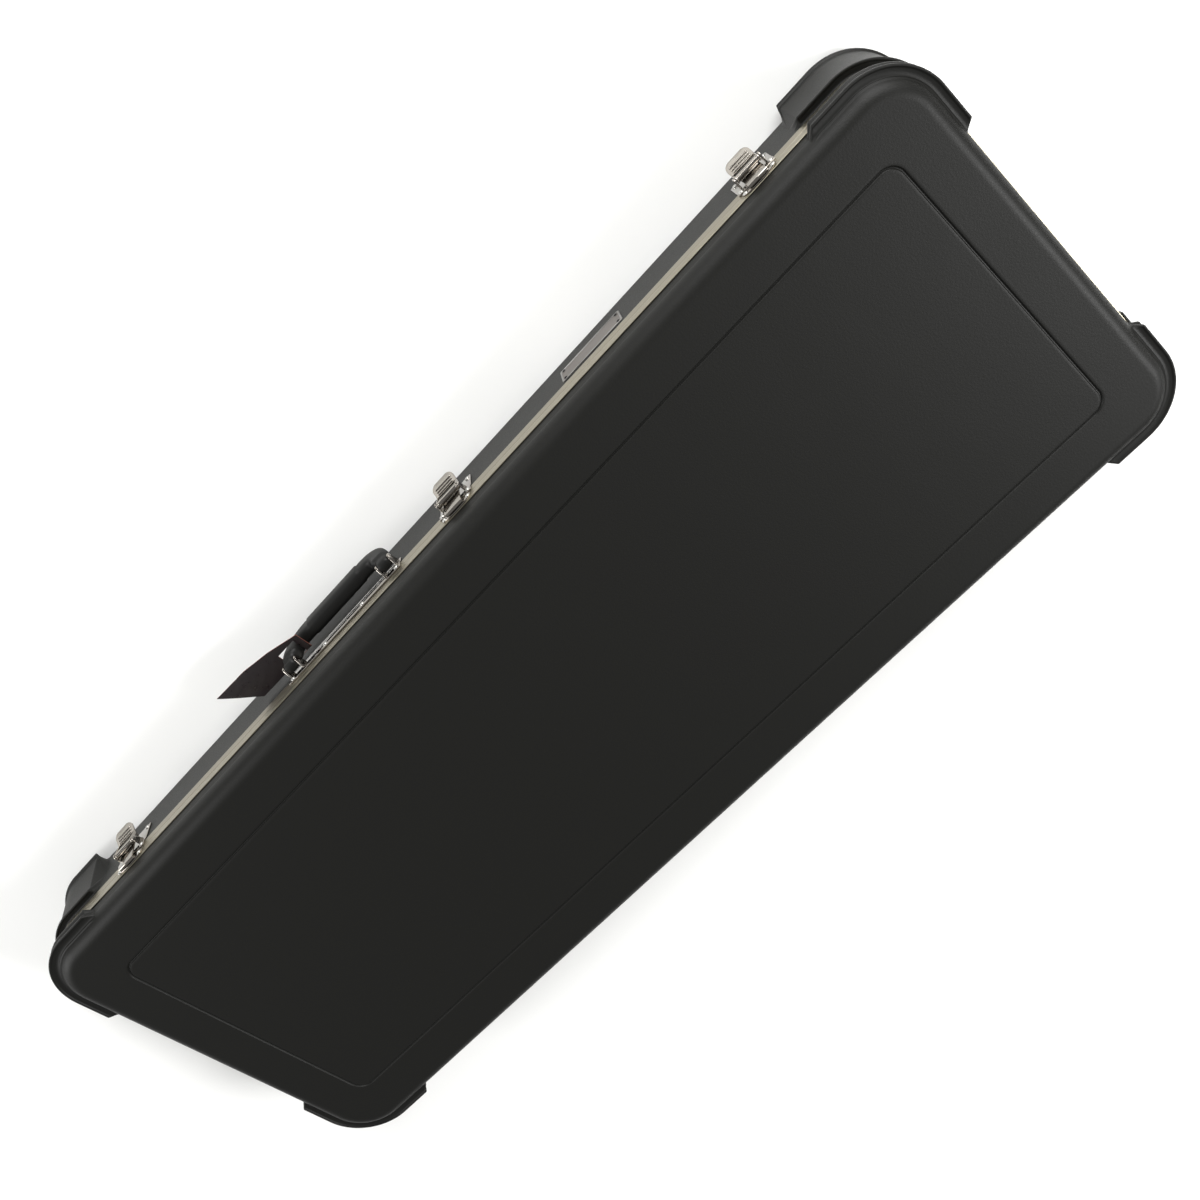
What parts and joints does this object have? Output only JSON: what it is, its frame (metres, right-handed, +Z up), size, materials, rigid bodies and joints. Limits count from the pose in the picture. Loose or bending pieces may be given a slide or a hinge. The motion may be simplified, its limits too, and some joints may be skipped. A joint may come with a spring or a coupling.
{
  "type": "guitar case",
  "caption": "Hard moulded guitar case with tapered rectangular shells, corner bumpers, metal valance, draw latches, folding handle and a padded interior that opens.",
  "frame": {"origin": "centre of the flat back face that the case lies on", "axes": "+X along the case towards its narrow neck end, -Y towards the latches and the handle, +Z up through the lid"},
  "size_m": [1.075, 0.4323, 0.108],
  "materials": {
    "shell": "pebble-grained thermoformed ABS",
    "valance": "satin anodised extrusion",
    "chrome": "bright nickel-chrome plate",
    "steel": "zinc-plated steel",
    "grip": "soft matt moulded grip",
    "plush": "short-pile plush over foam",
    "tape": "woven ribbon",
    "card": "dark coated card, red-brown edge",
    "plate": "brushed nameplate"
  },
  "bodies": {
    "case_base": {"bottom_shell": "shell", "bottom_valance": "valance", "foam_insert": "plush", "neck_cradle": "plush", "accessory_hinge_tape": "tape", "latch_rivets": "steel", "handle_rail": "chrome", "handle_pins": "steel", "handle_rivets": "steel", "hinge_base_rivets": "steel", "nameplate": "plate", "nameplate_rivets": "steel", "latch_base_1": "chrome", "lever_pivots_1": "steel", "hinge_base_leaf_1": "steel", "hinge_pin_1": "steel", "latch_base_2": "chrome", "lever_pivots_2": "steel", "hinge_base_leaf_2": "steel", "hinge_pin_2": "steel", "latch_base_3": "chrome", "lever_pivots_3": "steel", "hinge_base_leaf_3": "steel", "hinge_pin_3": "steel"},
    "case_lid": {"lid_shell": "shell", "lid_valance": "valance", "lid_pad": "plush", "keeper_rivets": "steel", "hinge_lid_rivets": "steel", "latch_keeper_1": "chrome", "hinge_lid_leaf_1": "steel", "latch_keeper_2": "chrome", "hinge_lid_leaf_2": "steel", "latch_keeper_3": "chrome", "hinge_lid_leaf_3": "steel"},
    "handle": {"handle_grip": "grip", "handle_core": "steel", "swing_tag": "card"},
    "accessory_cover": {"accessory_lid": "plush", "accessory_pull_tab": "tape"},
    "latch_lever_1_body": {"latch_lever_1": "chrome", "link_pin_1": "steel"},
    "latch_link_1_body": {"latch_link_1": "chrome"},
    "latch_lever_2_body": {"latch_lever_2": "chrome", "link_pin_2": "steel"},
    "latch_link_2_body": {"latch_link_2": "chrome"},
    "latch_lever_3_body": {"latch_lever_3": "chrome", "link_pin_3": "steel"},
    "latch_link_3_body": {"latch_link_3": "chrome"}
  },
  "joints": [
    {"name": "lid_hinge", "type": "hinge", "parent": "case_base", "child": "case_lid", "pos_m": [0.00003, 0.2003, 0.077], "axis": [-1, 0.0066, 0], "range_deg": [0, 110]},
    {"name": "handle_hinge", "type": "hinge", "parent": "case_base", "child": "handle", "pos_m": [0.08806, -0.20392, 0.063], "axis": [-1, -0.0066, 0], "range_deg": [0, 95]},
    {"name": "accessory_lid_hinge", "type": "hinge", "parent": "case_base", "child": "accessory_cover", "pos_m": [0.0595, 0.167, 0.07], "axis": [-1, 0, 0], "range_deg": [0, 88]},
    {"name": "latch_1_lever", "type": "hinge", "parent": "case_base", "child": "latch_lever_1_body", "pos_m": [-0.39994, -0.20744, 0.066], "axis": [-1, -0.0066, 0], "range_deg": [0, 90]},
    {"name": "latch_1_link", "type": "hinge", "parent": "latch_lever_1_body", "child": "latch_link_1_body", "pos_m": [-0.39996, -0.20394, 0.059], "axis": [-1, -0.0066, 0], "range_deg": [-108, 0]},
    {"name": "latch_2_lever", "type": "hinge", "parent": "case_base", "child": "latch_lever_2_body", "pos_m": [-0.05494, -0.20516, 0.066], "axis": [-1, -0.0066, 0], "range_deg": [0, 90]},
    {"name": "latch_2_link", "type": "hinge", "parent": "latch_lever_2_body", "child": "latch_link_2_body", "pos_m": [-0.05496, -0.20166, 0.059], "axis": [-1, -0.0066, 0], "range_deg": [-108, 0]},
    {"name": "latch_3_lever", "type": "hinge", "parent": "case_base", "child": "latch_lever_3_body", "pos_m": [0.38906, -0.20223, 0.066], "axis": [-1, -0.0066, 0], "range_deg": [0, 90]},
    {"name": "latch_3_link", "type": "hinge", "parent": "latch_lever_3_body", "child": "latch_link_3_body", "pos_m": [0.38904, -0.19873, 0.059], "axis": [-1, -0.0066, 0], "range_deg": [-108, 0]}
  ],
  "couplings": [
    {"joint": "accessory_lid_hinge", "follows": "lid_hinge", "ratio": 0.8},
    {"joint": "latch_1_link", "follows": "latch_1_lever", "ratio": -1.2},
    {"joint": "latch_2_link", "follows": "latch_2_lever", "ratio": -1.2},
    {"joint": "latch_3_link", "follows": "latch_3_lever", "ratio": -1.2}
  ]
}
